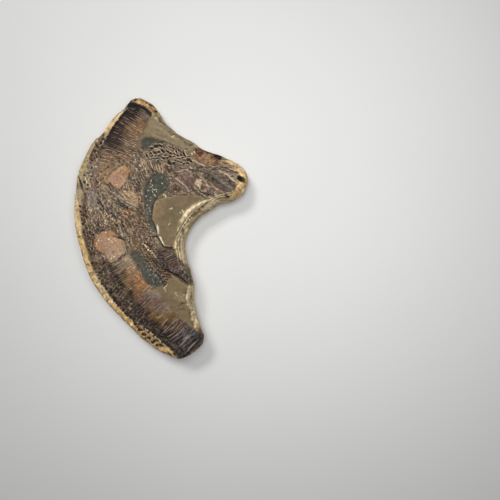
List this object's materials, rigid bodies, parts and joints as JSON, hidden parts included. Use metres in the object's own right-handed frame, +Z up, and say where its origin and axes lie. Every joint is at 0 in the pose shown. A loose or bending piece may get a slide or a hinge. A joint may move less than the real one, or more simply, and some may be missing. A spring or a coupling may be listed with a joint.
{
  "type": "fossil fish plate",
  "caption": "Crescent-shaped half of a split stone nodule, with a curled fossil fish in low relief on its split face and a flat back to rest on.",
  "frame": {"origin": "bottom centre of the bounding box, on the flat of the back", "axes": "+Z up out of the split face, +Y along the long side towards the tip with the small flank, +X towards the arm"},
  "size_m": [0.2194, 0.3254, 0.0349],
  "materials": {
    "fossil_stone": "matt, rough, split stone"
  },
  "bodies": {
    "root": {"fossil_plate": "fossil_stone"}
  },
  "joints": []
}
